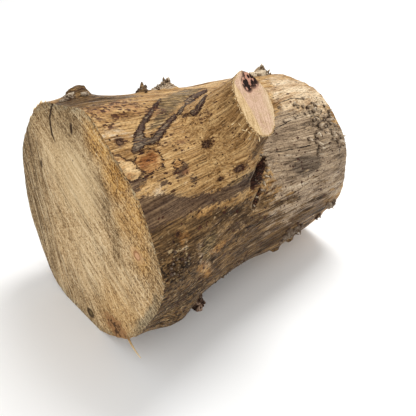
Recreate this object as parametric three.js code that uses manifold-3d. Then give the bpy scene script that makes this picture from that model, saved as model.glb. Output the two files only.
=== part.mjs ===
// A short log of debarked pine, lying on its side: a butt that flares to the saw cut, a limb stub cut
// off on a slant, knots, drifts of small bud nubs and one torn splinter. It grew as one piece, so it is
// one solid.
//
// Lengths are in millimetres and angles in degrees. Places on the log are given as (along, around):
// along is the distance from the butt cut, measured on the pith line; around is the angle about the pith,
// 0 at the top, 90 towards the front (-Y) and 180 underneath.
import * as THREE from "three";
import { mergeVertices } from "three/addons/utils/BufferGeometryUtils.js";
import Module from "manifold-3d";

const wasm = await Module();
wasm.setup();

// Driving dimensions of the trunk
const LENGTH = 305;
const BUTT_RADIUS = 124;
const TOP_RADIUS = 95;
// [along, mean radius]: the flare at the butt, the waist, and the last of the taper
const TAPER = [
  [0, BUTT_RADIUS],
  [35, 121.5],
  [70, 117],
  [110, 110.5],
  [160, 105],
  [220, 103],
  [275, 100],
  [LENGTH, TOP_RADIUS],
];
const SIDES = 76;
const ROWS = 32;

// Root lobes that swell the butt and fade up the trunk: [around, height, half width, fades over]
const BUTT_LOBES = [
  [86, 9, 13, 60],
  [-150, 8, 15, 110],
  [6, 6, 10, 40],
  [-35, 3, 12, 120],
  [36, -5, 11, 30],
  [-98, -1.5, 14, 80],
  [128, -3.5, 12, 22],
];
// Broad swellings of the trunk: [along, around, height, half length, half width in degrees]
const SWELLINGS = [
  [92, 32, 11, 44, 24],
  [45, 128, 9, 17, 17],
  [34, -25, 7, 13, 7],
  [128, -25, 5, 26, 9],
  [196, -24, 2.5, 60, 22],
  [206, 131, 3.5, 24, 12],
  [262, 131, 1.5, 30, 14],
  [275, 42, 3, 26, 24],
  [150, -120, 5, 50, 26],
  [238, 190, -2, 40, 30],
  [72, -95, -3, 34, 24],
];
// Long shallow flutes that run with the fibres: depth, and how many around the trunk
const FLUTE_DEPTH = 1.1;
const FLUTES = 9;
// The flutes wander this many degrees to either side of straight, once in this length
const FLUTE_DRIFT = 12;
const FLUTE_DRIFT_OVER = 440;

// Limb stub
const LIMB_FROM = 84; // where its pith leaves the trunk's
const LIMB_AROUND = 33;
const LIMB_ANGLE = 70; // between the limb and the trunk
const LIMB_REACH = 167; // from the trunk's pith to the middle of its saw cut
const LIMB_RADIUS = 31.5;
const LIMB_SUNK_AT = 60;
// The limb flares into the trunk by a different amount on each side. The flare is widest at this share
// of the limb's length, dies away by its saw cut, and draws in again inside the trunk.
const LIMB_FLARE = { butt: 56, front: 76, crotch: 56, back: 26 };
const LIMB_FLARE_POWER = 1.5;
const LIMB_FLARE_WIDEST = 0.3;
const LIMB_CUT_AROUND = 49;
const LIMB_CUT_ANGLE = 71;
const LIMB_SIDES = 36;
const LIMB_ROWS = 12;
// How far from round the limb is: [depth as a share of the radius, waves around it, phase in degrees]
const LIMB_WOBBLE = [
  [0.035, 3, 57],
  [0.02, 5, 0],
];

// Knots that stand out: [along, around, width, height, spikes]
const KNOTS = [
  [33, -25, 26, 8, 5],
  [109, -25, 13, 14, 3],
  [138, -25, 24, 10, 6],
  [284, -25, 22, 15, 7],
  [81, 130, 15, 13, 4],
  [238, 131, 12, 7, 3],
  [212, 131, 14, 6, 3],
  [299, 130, 11, 6, 3],
  [205, -118, 24, 8, 4],
  [118, 215, 16, 5, 3],
];
// A knot is one broad lump with sharper spikes on it. All three are shares of the knot's own size.
const KNOT_LUMP_HEIGHT = 0.75;
const SPIKE_REACH = 0.36;
const SPIKE_WIDTH = [0.3, 0.5];
const SPIKE_HEIGHT = [0.8, 1.15];

// Bud nubs that stand alone: [along, around, width, height]
const BUDS = [
  [255, 25, 8, 5],
  [271, 31, 9, 6],
  [272, 39, 8, 6],
  [265, 45, 9, 6],
  [256, 48, 8, 5],
  [244, 51, 8, 5],
  [251, 57, 9, 5],
  [296, 28, 7, 5],
  [298, 37, 7, 5],
  [288, 49, 8, 6],
  [294, 57, 8, 5],
  [299, 63, 7, 5],
  [226, 72, 7, 3],
  [168, 118, 8, 3],
];
// Drifts of small bud nubs: [along, around, spread along, spread around, how many]
const BUD_DRIFTS = [
  [262, 42, 24, 22, 12],
  [294, 50, 8, 16, 4],
  [20, 83, 8, 7, 6],
  [262, -70, 22, 26, 12],
  [150, -150, 26, 16, 6],
];
const BUD_WIDTH = [4.5, 8];
const BUD_HEIGHT = [2.2, 4.5];

// The shape of every lump. Its middle is sunk below the surface and its top is drawn in to a peak, both as
// shares of its size; LUMP_ROUGH gives the waves over it and LUMP_LEAN how far it may lean along the log.
const LUMP_SUNK = 0.35;
const LUMP_TALL = 1.25;
const LUMP_PEAK = 0.4;
const LUMP_ROUGH = [
  [0.16, 4.1],
  [0.16, 5.3],
  [0.14, 6.2],
];
const LUMP_LEAN = 0.35;

// Torn splinter on the butt's lower rim. Its root is sunk in the wood this far up the log and below the
// surface, and BEND and TIP are where it runs to from there: up the log, to the back and up.
const SPLINTER_ROOT = [1.5, 142, -2.5];
const SPLINTER_BEND = [1, -8, -11];
const SPLINTER_TIP = [3, -19, -17];
const SPLINTER_WIDTH = 2.6;
const SPLINTER_THICKNESS = 1.5;
const SPLINTER_TIP_SHARE = 0.42; // how thick the tip is, as a share of the root
const SPLINTER_SIDES = 6;
const SPLINTER_ROWS = 8;

// How deep the flat that the log lies on is worn into its underside
const REST_FLAT = 2;
const FLOOR_THICKNESS = 40;

// How finely the taper line is followed, and how near two corners are before they are one
const TAPER_STEPS = 120;
const SAME_CORNER = 1e-4;
const KNOT_DETAIL = 2;
const SPIKE_DETAIL = 0;
const SEED = 7;

const rad = THREE.MathUtils.degToRad;

// Plain numbers from 0 to 1 that are the same on every run
function seeded(seed) {
  let state = seed >>> 0;
  return () => {
    state = (Math.imul(state, 1664525) + 1013904223) >>> 0;
    return state / 4294967296;
  };
}

// A hump of height 1 at 0, half as high at the half width
function hump(distance, halfWidth) {
  return Math.exp(-Math.LN2 * (distance / halfWidth) ** 2);
}

// The shortest turn from one angle to another, from -180 to 180
function turn(from, to) {
  return ((((to - from) % 360) + 540) % 360) - 180;
}

const taperLine = new THREE.SplineCurve(
  TAPER.map(([along, radius]) => new THREE.Vector2(along, radius)),
);
const taperPoints = taperLine.getPoints(TAPER_STEPS);

function meanRadius(along) {
  const next = taperPoints.findIndex((p) => p.x >= along);
  if (next <= 0) {
    return next === 0 ? taperPoints[0].y : taperPoints.at(-1).y;
  }
  const [a, b] = [taperPoints[next - 1], taperPoints[next]];
  return THREE.MathUtils.lerp(a.y, b.y, (along - a.x) / (b.x - a.x));
}

function trunkRadius(along, around) {
  let radius = meanRadius(along);
  for (const [at, height, half, fade] of BUTT_LOBES) {
    radius += height * hump(turn(at, around), half) * Math.exp(-along / fade);
  }
  for (const [at, angle, height, halfLength, half] of SWELLINGS) {
    radius += height * hump(along - at, halfLength) * hump(turn(angle, around), half);
  }
  const drift = FLUTE_DRIFT * Math.sin((2 * Math.PI * along) / FLUTE_DRIFT_OVER);
  radius += FLUTE_DEPTH * Math.sin(rad(FLUTES * (around + drift)));
  return radius;
}

// The trunk's own frame: x along the pith from the butt, y to the back, z up
function outwards(around) {
  return new THREE.Vector3(0, -Math.sin(rad(around)), Math.cos(rad(around)));
}

function onTrunk(along, around, lift = 0) {
  const point = outwards(around).multiplyScalar(trunkRadius(along, around) + lift);
  point.x = along;
  return point;
}

// Moves every corner of a geometry by a function that changes the point it is given
function reshape(geometry, move) {
  const position = geometry.getAttribute("position");
  const point = new THREE.Vector3();
  for (let i = 0; i < position.count; i++) {
    point.fromBufferAttribute(position, i);
    move(point);
    position.setXYZ(i, point.x, point.y, point.z);
  }
  return geometry;
}

// A closed geometry as a solid that can be joined and cut
function solid(geometry) {
  geometry.deleteAttribute("normal");
  geometry.deleteAttribute("uv");
  const merged = mergeVertices(geometry, SAME_CORNER);
  return new wasm.Manifold(
    new wasm.Mesh({
      numProp: 3,
      vertProperties: merged.getAttribute("position").array,
      triVerts: new Uint32Array(merged.index.array),
    }),
  );
}

function meshGeometry(manifold) {
  const mesh = manifold.getMesh();
  return new THREE.BufferGeometry()
    .setAttribute("position", new THREE.BufferAttribute(mesh.vertProperties, 3))
    .setIndex(new THREE.BufferAttribute(mesh.triVerts, 1));
}

// A unit cylinder standing on +Y becomes the trunk: its height runs along the pith
function trunk() {
  const tube = new THREE.CylinderGeometry(1, 1, 1, SIDES, ROWS);
  return reshape(tube, (point) => {
    const along = (point.y + 0.5) * LENGTH;
    const reach = Math.hypot(point.x, point.z);
    const around = THREE.MathUtils.radToDeg(Math.atan2(point.x, point.z));
    const out = outwards(around).multiplyScalar(reach > 0.5 ? trunkRadius(along, around) : 0);
    point.set(along, out.y, out.z);
  });
}

// A direction given as the angle from the pith and the angle around it
function direction(angle, around) {
  const out = outwards(around).multiplyScalar(Math.sin(rad(angle)));
  out.x = Math.cos(rad(angle));
  return out;
}

// The flare around the limb: angle 0 faces the crotch, and a quarter turn on faces the back
function limbFlare(angle) {
  const [c, s] = [Math.cos(angle), Math.sin(angle)];
  const { butt, front, crotch, back } = LIMB_FLARE;
  return (c > 0 ? crotch : butt) * c * c + (s > 0 ? back : front) * s * s;
}

// A unit cylinder becomes the limb: each line along it ends in the slanting saw cut
function limb() {
  const axis = direction(LIMB_ANGLE, LIMB_AROUND);
  const cut = direction(LIMB_CUT_ANGLE, LIMB_CUT_AROUND);
  const start = new THREE.Vector3(LIMB_FROM, 0, 0);
  const cutMiddle = start.clone().addScaledVector(axis, LIMB_REACH);
  // toTop points up the tree, square to the limb; across is square to both
  const toTop = new THREE.Vector3(1, 0, 0).addScaledVector(axis, -axis.x).normalize();
  const across = new THREE.Vector3().crossVectors(axis, toTop);
  const tube = new THREE.CylinderGeometry(1, 1, 1, LIMB_SIDES, LIMB_ROWS);
  const offset = new THREE.Vector3();
  return reshape(tube, (point) => {
    const share = point.y + 0.5;
    const reach = Math.hypot(point.x, point.z);
    const angle = Math.atan2(point.x, point.z);
    const spread = THREE.MathUtils.smoothstep(share, 0, LIMB_FLARE_WIDEST);
    const flare = limbFlare(angle) * Math.pow(1 - share, LIMB_FLARE_POWER) * spread;
    let wobble = 1;
    for (const [depth, waves, phase] of LIMB_WOBBLE) {
      wobble += depth * Math.sin(waves * angle + rad(phase));
    }
    const radius = (LIMB_RADIUS * wobble + flare) * reach;
    offset.set(0, 0, 0);
    offset.addScaledVector(toTop, radius * Math.cos(angle));
    offset.addScaledVector(across, radius * Math.sin(angle));
    const foot = start.clone().add(offset);
    const run = cutMiddle.clone().sub(foot).dot(cut) / axis.dot(cut);
    point.copy(foot).addScaledVector(axis, THREE.MathUtils.lerp(LIMB_SUNK_AT, run, share));
  });
}

// A rough peaked lump with its middle just under the surface
function lump([along, around, width, height], detail, random) {
  const ball = new THREE.IcosahedronGeometry(1, detail);
  const phases = LUMP_ROUGH.map(() => random() * 2 * Math.PI);
  const middle = onTrunk(along, around, -height * LUMP_SUNK);
  const out = outwards(around);
  const side = new THREE.Vector3(1, 0, 0);
  const across = new THREE.Vector3().crossVectors(out, side);
  const lean = LUMP_LEAN * (2 * random() - 1);
  return reshape(ball, (p) => {
    const place = p.toArray();
    let rough = 1;
    LUMP_ROUGH.forEach(([share, waves], i) => {
      rough += share * Math.sin(waves * place[i] + phases[i]);
    });
    const [x, y, z] = place.map((value) => value * rough);
    const drawnIn = 1 - LUMP_PEAK * Math.max(z, 0);
    p.copy(middle);
    p.addScaledVector(side, ((x * drawnIn + lean * Math.max(z, 0)) * width) / 2);
    p.addScaledVector(across, (y * drawnIn * width) / 2);
    p.addScaledVector(out, z * height * LUMP_TALL);
  });
}

function between([low, high], share) {
  return THREE.MathUtils.lerp(low, high, share);
}

function knot([along, around, width, height, spikes], random) {
  const broad = [along, around, width, height * KNOT_LUMP_HEIGHT];
  const parts = [solid(lump(broad, KNOT_DETAIL, random))];
  for (let i = 0; i < spikes; i++) {
    const shift = width * SPIKE_REACH * Math.sqrt(random());
    const way = random() * Math.PI * 2;
    const at = along + shift * Math.cos(way);
    const sideways = (shift * Math.sin(way)) / meanRadius(along);
    const turned = around + THREE.MathUtils.radToDeg(sideways);
    const spikeWidth = width * between(SPIKE_WIDTH, random());
    const spikeHeight = height * between(SPIKE_HEIGHT, random());
    parts.push(solid(lump([at, turned, spikeWidth, spikeHeight], SPIKE_DETAIL, random)));
  }
  return parts;
}

function budDrift([along, around, spreadAlong, spreadAround, count], random) {
  const parts = [];
  for (let i = 0; i < count; i++) {
    const at = along + spreadAlong * (random() + random() - 1);
    const turned = around + spreadAround * (random() + random() - 1);
    const width = between(BUD_WIDTH, random());
    const height = between(BUD_HEIGHT, random() ** 2);
    const bud = [Math.min(at, LENGTH - width), turned, width, height];
    parts.push(solid(lump(bud, SPIKE_DETAIL, random)));
  }
  return parts;
}

// A thin tapering strip of wood torn from the rim
function splinter() {
  const root = onTrunk(...SPLINTER_ROOT);
  const path = new THREE.QuadraticBezierCurve3(
    root,
    root.clone().add(new THREE.Vector3(...SPLINTER_BEND)),
    root.clone().add(new THREE.Vector3(...SPLINTER_TIP)),
  );
  const strip = new THREE.CylinderGeometry(1, 1, 1, SPLINTER_SIDES, SPLINTER_ROWS);
  return reshape(strip, (point) => {
    const share = point.y + 0.5;
    const middle = path.getPoint(share);
    const thin = THREE.MathUtils.lerp(1, SPLINTER_TIP_SHARE, share);
    const wide = new THREE.Vector3(1, 0, 0);
    const thick = new THREE.Vector3().crossVectors(wide, path.getTangent(share)).normalize();
    const [x, z] = [point.x, point.z];
    point.copy(middle);
    point.addScaledVector(wide, (x * thin * SPLINTER_WIDTH) / 2);
    point.addScaledVector(thick, (z * thin * SPLINTER_THICKNESS) / 2);
  });
}

// The log lies on its butt rim and its top rim, so the pith slopes down to the smaller end
function layDown(manifold) {
  const lowAtButt = trunkRadius(0, 180);
  const lowAtTop = trunkRadius(LENGTH, 180);
  const slope = Math.asin((lowAtButt - lowAtTop) / LENGTH);
  const lying = new THREE.Matrix4().makeRotationY(slope);
  lying.setPosition(0, 0, lowAtButt * Math.cos(slope) - REST_FLAT);
  return manifold.transform(lying.elements);
}

function restFlat() {
  const floor = new THREE.BoxGeometry(3 * LENGTH, 3 * LENGTH, FLOOR_THICKNESS);
  floor.translate(0, 0, -FLOOR_THICKNESS / 2);
  return solid(floor);
}

function logGeometry() {
  const random = seeded(SEED);
  const grown = [
    solid(trunk()),
    solid(limb()),
    ...KNOTS.flatMap((k) => knot(k, random)),
    ...BUDS.map((bud) => solid(lump(bud, SPIKE_DETAIL, random))),
    ...BUD_DRIFTS.flatMap((drift) => budDrift(drift, random)),
    solid(splinter()),
  ];
  const whole = grown.reduce((sum, piece) => sum.add(piece));
  // what a knot pushes out past either saw cut was sawn off with it
  const kept = new THREE.BoxGeometry(LENGTH, 3 * LENGTH, 3 * LENGTH);
  kept.translate(LENGTH / 2, 0, 0);
  const sawn = whole.intersect(solid(kept));
  return meshGeometry(layDown(sawn).subtract(restFlat()));
}

const geometry = logGeometry();
geometry.computeBoundingBox();
const middle = geometry.boundingBox.getCenter(new THREE.Vector3());
geometry.translate(-middle.x, -middle.y, -geometry.boundingBox.min.z);
geometry.computeVertexNormals();

const pineWood = new THREE.MeshStandardMaterial({
  color: new THREE.Color(0.46, 0.34, 0.2),
  roughness: 0.85,
  metalness: 0,
});

const pineLog = new THREE.Mesh(geometry, pineWood);
pineLog.name = "log";

const part = new THREE.Group();
part.add(pineLog);

export default part;
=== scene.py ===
import random
from math import cos, degrees, pi, radians, sin

import bmesh
import bpy
import numpy as np
from mathutils import Matrix, Vector, noise
from mathutils.bvhtree import BVHTree
from mathutils.kdtree import KDTree


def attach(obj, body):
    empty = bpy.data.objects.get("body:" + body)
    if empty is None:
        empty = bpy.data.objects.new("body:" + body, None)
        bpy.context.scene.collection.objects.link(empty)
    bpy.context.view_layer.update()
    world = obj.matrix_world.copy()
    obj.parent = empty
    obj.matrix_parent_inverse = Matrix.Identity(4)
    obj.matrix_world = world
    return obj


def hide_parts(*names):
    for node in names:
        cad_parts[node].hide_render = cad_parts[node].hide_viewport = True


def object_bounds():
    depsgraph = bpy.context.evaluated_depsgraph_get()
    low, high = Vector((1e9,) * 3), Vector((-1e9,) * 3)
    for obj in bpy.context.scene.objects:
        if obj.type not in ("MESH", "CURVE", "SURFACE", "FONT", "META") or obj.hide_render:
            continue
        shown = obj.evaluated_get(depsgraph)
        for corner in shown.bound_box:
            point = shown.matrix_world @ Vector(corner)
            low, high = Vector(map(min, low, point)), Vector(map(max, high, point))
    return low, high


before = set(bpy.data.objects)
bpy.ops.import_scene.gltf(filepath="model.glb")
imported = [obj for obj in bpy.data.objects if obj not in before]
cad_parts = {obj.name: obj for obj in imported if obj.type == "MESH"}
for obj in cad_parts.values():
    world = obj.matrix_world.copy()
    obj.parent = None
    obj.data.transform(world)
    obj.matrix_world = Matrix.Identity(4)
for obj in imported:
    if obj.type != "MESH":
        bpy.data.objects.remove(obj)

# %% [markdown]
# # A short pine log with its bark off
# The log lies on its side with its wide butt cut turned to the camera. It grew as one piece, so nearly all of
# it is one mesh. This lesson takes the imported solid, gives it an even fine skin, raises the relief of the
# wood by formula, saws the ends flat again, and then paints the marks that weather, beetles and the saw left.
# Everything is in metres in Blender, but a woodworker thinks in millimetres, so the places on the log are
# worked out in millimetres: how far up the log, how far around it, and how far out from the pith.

cad_low, cad_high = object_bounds()
log_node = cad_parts["log"]

MM = 0.001
LENGTH = 305.0                                   # butt cut to top cut, along the pith
BUTT_MIDDLE = np.array([-150.50, 5.86, 121.95])  # where the pith meets the butt cut
SLOPE = radians(5.391)                           # the pith slopes down to the thin end
print("the solid is", [round(v, 3) for v in cad_high - cad_low], "m")

# %% [markdown]
# ## The camera
# It comes first, because everything else is judged through it. It stands in front of the butt, to the left
# and above, and looks down at about 36 degrees. The lens is a little long, as on a phone held at arm's
# length.

# %% Camera
CAMERA_PLACE = Vector((-0.3702, -0.4352, 0.4926))
CAMERA_AIM = Vector((0.5335, 0.6059, -0.5901))   # the direction it looks in
camera_data = bpy.data.cameras.new("camera")
camera_data.lens = 51.9
camera_data.sensor_width = 36
camera = bpy.data.objects.new("camera", camera_data)
camera.location = CAMERA_PLACE
camera.rotation_euler = CAMERA_AIM.to_track_quat("-Z", "Y").to_euler()
bpy.context.scene.collection.objects.link(camera)
bpy.context.scene.camera = camera
print("camera looks down at", round(degrees(-np.arcsin(CAMERA_AIM.z)), 1), "degrees")

# %% [markdown]
# ## Places on the log
# Three directions belong to the log: up the pith, to the back, and up square to the pith. A place is given as
# (along, around): millimetres up from the butt cut, and degrees about the pith, with 0 on top, 90 at the
# front and 180 underneath. The helpers turn points of the mesh into such places and back.

# %% The log's own directions
UP_PITH = np.array([cos(SLOPE), 0.0, -sin(SLOPE)])
TO_BACK = np.array([0.0, 1.0, 0.0])
UPRIGHT = np.array([sin(SLOPE), 0.0, cos(SLOPE)])

def places(points):
    """Points in metres as along (mm), around (degrees) and out (mm from the pith)."""
    from_butt = points * 1000 - BUTT_MIDDLE
    along, back, up = from_butt @ UP_PITH, from_butt @ TO_BACK, from_butt @ UPRIGHT
    return along, np.degrees(np.arctan2(-back, up)), np.hypot(back, up)

def outwards(around):
    """The direction square to the pith, for an angle in degrees."""
    return -sin(radians(around)) * TO_BACK + cos(radians(around)) * UPRIGHT

def point_at(along, around, out):
    return Vector((BUTT_MIDDLE + along * UP_PITH + out * outwards(around)) * MM)

# The limb stub leaves the pith this far up, at this angle to it, and its saw cut faces another way
LIMB_FROM, LIMB_AROUND, LIMB_ANGLE, LIMB_REACH = 84.0, 33.0, radians(70), 167.0
LIMB_CUT_AROUND, LIMB_CUT_ANGLE = 49.0, radians(71)
LIMB_OUT = outwards(LIMB_AROUND)
LIMB_ACROSS = np.cross(UP_PITH, LIMB_OUT)
LIMB_AXIS = cos(LIMB_ANGLE) * UP_PITH + sin(LIMB_ANGLE) * LIMB_OUT
LIMB_CUT_FACING = cos(LIMB_CUT_ANGLE) * UP_PITH + sin(LIMB_CUT_ANGLE) * outwards(LIMB_CUT_AROUND)
LIMB_CUT_MIDDLE = BUTT_MIDDLE + LIMB_FROM * UP_PITH + LIMB_REACH * LIMB_AXIS
print("the limb's cut is at", LIMB_CUT_MIDDLE.round(1), "mm")

# %% [markdown]
# ## An even skin for the log
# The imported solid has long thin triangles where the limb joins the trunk, and relief can't be raised evenly
# on those. A Remesh modifier in voxel mode gives the whole log one skin of small even faces. It also rounds
# every edge, which would spoil the saw cuts. So the three cut faces are first pushed out past their real
# place, and once the relief is on, the log is sawn off there again with a bisecting plane.

# %% Copy the solid and push its cuts out
SAW_ALLOWANCE = 7.0     # mm left beyond each cut until it is sawn
CUTS = {                # the middle, the way the face looks, the way it is pushed out, and its reach in mm
    "butt": (BUTT_MIDDLE, -UP_PITH, -UP_PITH, 160),
    "top": (BUTT_MIDDLE + LENGTH * UP_PITH, UP_PITH, UP_PITH, 160),
    "limb": (LIMB_CUT_MIDDLE, LIMB_CUT_FACING, LIMB_AXIS, 55),
}

def on_cut(name, place, gap):
    """Whether places in mm lie on a cut: nearer its plane than the gap, and within its reach."""
    middle, facing, _, reach = CUTS[name]
    off = place - middle
    return (abs(off @ facing) < gap) & (np.linalg.norm(off, axis=-1) < reach)

skin = bmesh.new()
skin.from_mesh(log_node.data)
bmesh.ops.remove_doubles(skin, verts=skin.verts, dist=1e-6)
for name, (_, _, way, _) in CUTS.items():
    face = [v for v in skin.verts if on_cut(name, np.array(v.co) * 1000, 0.02)]
    bmesh.ops.translate(skin, verts=face, vec=Vector(way * SAW_ALLOWANCE * MM))
    print("moved", len(face), "corners out")

# %% Remesh it
VOXEL = 1.9             # mm
rough_mesh = bpy.data.meshes.new("rough_log")
skin.to_mesh(rough_mesh)
skin.free()
rough_log = bpy.data.objects.new("rough_log", rough_mesh)
bpy.context.scene.collection.objects.link(rough_log)
even = rough_log.modifiers.new("even skin", "REMESH")
even.mode = "VOXEL"
even.voxel_size = VOXEL * MM
evaluated = rough_log.evaluated_get(bpy.context.evaluated_depsgraph_get())
log_mesh = bpy.data.meshes.new_from_object(evaluated)
log_mesh.name = "log_wood"
bpy.data.objects.remove(rough_log)

wood = bmesh.new()
wood.from_mesh(log_mesh)
for _ in range(3):
    bmesh.ops.smooth_vert(wood, verts=wood.verts, factor=0.5,
                          use_axis_x=True, use_axis_y=True, use_axis_z=True)
wood.to_mesh(log_mesh)
wood.free()
print("the even skin has", len(log_mesh.polygons), "faces")

# %% [markdown]
# ## The way the fibres run
# Wood has a grain, and nearly every mark follows it. On a plain trunk the fibres run up the log. Below a limb
# they sweep out and into it. A coordinate that stays the same along each fibre makes this easy: noise that is
# drawn long in the fibre's direction then bends by itself. Across the plane that holds both pith lines a
# fibre keeps its distance, drawn in as the limb narrows, and in that plane it keeps its height.

# %% Fibre coordinates
TRUNK_SKIN = [(0, 118), (60, 117), (110, 111), (160, 105), (305, 98)]   # (along, mean distance out)
GATHER = 0.85           # how much closer the fibres lie at the limb's cut than at its foot

def smooth_step(low, high, value):
    t = np.clip((value - low) / (high - low), 0, 1)
    return t * t * (3 - 2 * t)

def fibres(points):
    """Three lengths in mm for each point: along the fibre, and two that stay the same along it."""
    rel = points * 1000 - BUTT_MIDDLE
    along, across, high = rel @ UP_PITH, rel @ LIMB_ACROSS, rel @ LIMB_OUT
    out = np.hypot(across, high)
    trunk_out = np.interp(along, *zip(*TRUNK_SKIN))
    limb_run = (along - LIMB_FROM) * cos(LIMB_ANGLE) + high * sin(LIMB_ANGLE)
    limb_side = (LIMB_FROM - along) * sin(LIMB_ANGLE) + high * cos(LIMB_ANGLE)
    on_limb = smooth_step(2, 76, out - trunk_out)
    near = smooth_step(-40, 110, along) * smooth_step(260, 150, along) * smooth_step(95, 20, abs(across))
    gather = 1 + GATHER * np.maximum(on_limb, 0.45 * near * smooth_step(60, 100, high))
    run = along * (1 - on_limb) + (limb_run + 10) * on_limb
    height = high * (1 - on_limb) + (limb_side + 110) * on_limb
    return np.stack([run, across * gather, height], 1), on_limb

def point_rows(mesh, what="vertices"):
    """The vertices or the vertex_normals of a mesh, a row for each point."""
    values = np.empty(len(mesh.vertices) * 3)
    getattr(mesh, what).foreach_get("co" if what == "vertices" else "vector", values)
    return values.reshape(-1, 3)

points = point_rows(log_mesh)
grain, on_limb = fibres(points)
print("points on the limb:", int((on_limb > 0.5).sum()))

# %% [markdown]
# ## Marks and where they lie
# A mark is a patch of bark left on the wood, a stain, a flake, a crack or a line of painted shadow. Each is
# drawn as an outline in (along, around) places, as if the log's side were unrolled flat. For every point of
# the mesh, the helper gives the distance to the outline, less than nothing inside it. A distance makes a
# better mask than
# a painted one: the material can set its edge anywhere, and roughen it, at any fineness.

# %% Distance to an outline
UNROLL = 2.0            # mm of the unrolled side for each degree around, near the trunk's skin
FAR = 30.0              # mm: no distance is stored beyond this

def unrolled(place_list):
    return np.array([(along, around * UNROLL) for along, around in place_list], float)

def to_segments(flat, corners, closed):
    """Distance from each flat point to a line through the corners, and which side of it is nearest."""
    ends = np.roll(corners, -1, 0) if closed else corners[1:]
    starts = corners if closed else corners[:-1]
    best = np.full(len(flat), 1e9)
    side = np.zeros(len(flat))
    inside = np.zeros(len(flat), bool)
    for a, b in zip(starts, ends):
        step = b - a
        t = np.clip(((flat - a) @ step) / (step @ step), 0, 1)
        gap = flat - (a + t[:, None] * step)
        far = np.hypot(gap[:, 0], gap[:, 1])
        nearer = far < best
        best[nearer] = far[nearer]
        turned = (step[0] * gap[:, 1] - step[1] * gap[:, 0]) / np.hypot(*step)
        side[nearer] = np.sign(turned[nearer])
        crosses = (a[1] > flat[:, 1]) != (b[1] > flat[:, 1])
        with np.errstate(divide="ignore", invalid="ignore"):
            at = a[0] + (flat[:, 1] - a[1]) * step[0] / step[1]
        inside ^= crosses & (flat[:, 0] < at)
    return best, side, inside

def patch_distance(flat, outlines):
    """Distance to the nearest of several closed outlines: below nothing inside one."""
    nearest = np.full(len(flat), FAR)
    for outline in outlines:
        far, _, inside = to_segments(flat, unrolled(outline), True)
        nearest = np.minimum(nearest, np.where(inside, -far, far))
    return nearest

def crack_distance(flat, lines):
    """Signed distance to the nearest line, so that a thin line stays sharp between mesh points."""
    nearest = np.full(len(flat), FAR)
    for line in lines:
        far, side, _ = to_segments(flat, unrolled(line), False)
        nearer = far < abs(nearest)
        nearest[nearer] = (far * np.where(side < 0, -1, 1))[nearer]
    return nearest

# %% The marks
OUTLINES = {
    "bark": [
        [(17, 30.5), (22, 27), (31, 22), (40, 19), (51, 15.6), (67, 11), (84, 4.8), (91, 3), (80, 8.4),
         (67, 12.8), (54, 17.4), (45, 20), (39, 23), (36, 25.6), (41, 27), (48, 25.4), (56, 23.6), (64, 22),
         (74, 19.6), (82, 18.4), (81, 20.6), (70, 23.2), (59, 26), (51, 28.4), (45, 30), (39, 29.6),
         (32, 29.4),
         (24, 31.4)],
        [(86, 24.6), (90, 22.8), (93, 23.2), (99, 22), (107, 20.6), (110, 20.8), (101, 23.8), (95, 25.4),
         (90, 26.2)],
        [(82, 19.4), (92, 15.8), (104, 12.6), (104, 14.4), (92, 18.2), (85, 20.8)],
        [(112, 8), (133, 1.6), (151, -3.4), (170, -7), (163, -3), (141, 3.4), (123, 8.4), (104, 15)],
        [(101, 17.4), (108, 14.4), (120, 10.6), (120, 12), (110, 16)],
        [(112, 19), (122, 15), (134, 11), (132, 13.4), (121, 17.4)],
    ],
    "red": [
        [(14, 34), (22, 32), (35, 31.6), (40, 33.6), (41, 37), (37, 40.4), (33, 41), (22, 42), (18, 41),
         (13, 37.6)],
        [(45, 41.6), (52, 39.8), (57, 41), (55, 43), (46, 43.4)],
    ],
    "cream": [
        [(-2, 29), (5, 30), (8, 33), (13, 34), (13.5, 36), (15, 40), (10, 41.4), (3, 42), (-2, 40), (-2, 32)],
    ],
    "band": [
        [(-2, 48.6), (14, 50), (25, 51), (42, 54), (48, 56), (67, 57), (84, 58), (100, 58), (115, 57.6),
         (140, 56), (160, 53), (166, 53), (152, 60), (133, 64), (121, 64), (94, 64.6), (67, 63), (45, 63),
         (29, 63), (17, 63), (-2, 64)],
        [(-2, 41), (3, 42), (10, 41), (18, 41.6), (18, 43), (10, 45), (4, 47), (-2, 46)],
        [(42, 43.6), (49, 44), (54, 42.4), (60, 42.6), (62, 44.6), (56, 46), (49, 47.6), (43, 46)],
        [(57, 49.4), (62, 48.6), (66, 50.6), (61, 52.4)],
        [(25, 46), (32, 45.6), (35, 47.6), (28, 49)],
    ],
    "crotch": [
        [(170, 51), (156, 53.6), (141, 56.4), (134, 60.6), (135, 65.4), (144, 65.6), (151, 65), (159, 62),
         (167, 57)],
        [(151, 66), (143, 69), (137, 71.6), (133, 74.5), (136, 76), (141, 74), (146, 70.4), (152, 67.6)],
    ],
    "olive": [
        [(84, 4), (98, 2), (126, -8), (150, -14), (176, -14), (140, 0), (108, 9), (88, 16), (75, 19),
         (58, 23),
         (46, 24), (45, 22), (61, 17)],
        [(52, 85), (52, 78), (61, 75), (71, 75), (75, 78), (69, 84), (62, 89)],
        [(96, 57), (116, 56), (140, 54), (162, 51), (150, 57), (128, 60), (104, 60)],
        [(102, 52.4), (107, 51), (113, 50.6), (121, 52), (114, 54), (107, 54)],
    ],
    "orange": [
        [(27, 69), (38, 68.6), (41, 72), (29, 73.4)],
        [(52, 64), (72, 63), (90, 64.6), (72, 66), (56, 66.6)],
        [(60, 84), (84, 82), (96, 85), (78, 88)],
        [(44, 88), (54, 86), (61, 90), (71, 96), (76, 104), (66, 101), (54, 94)],
        [(120, -60), (150, -66), (168, -60), (140, -54)],
        [(60, -120), (92, -126), (112, -118), (84, -112)],
        [(200, 160), (226, 154), (240, 163), (214, 168)],
    ],
}
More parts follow.
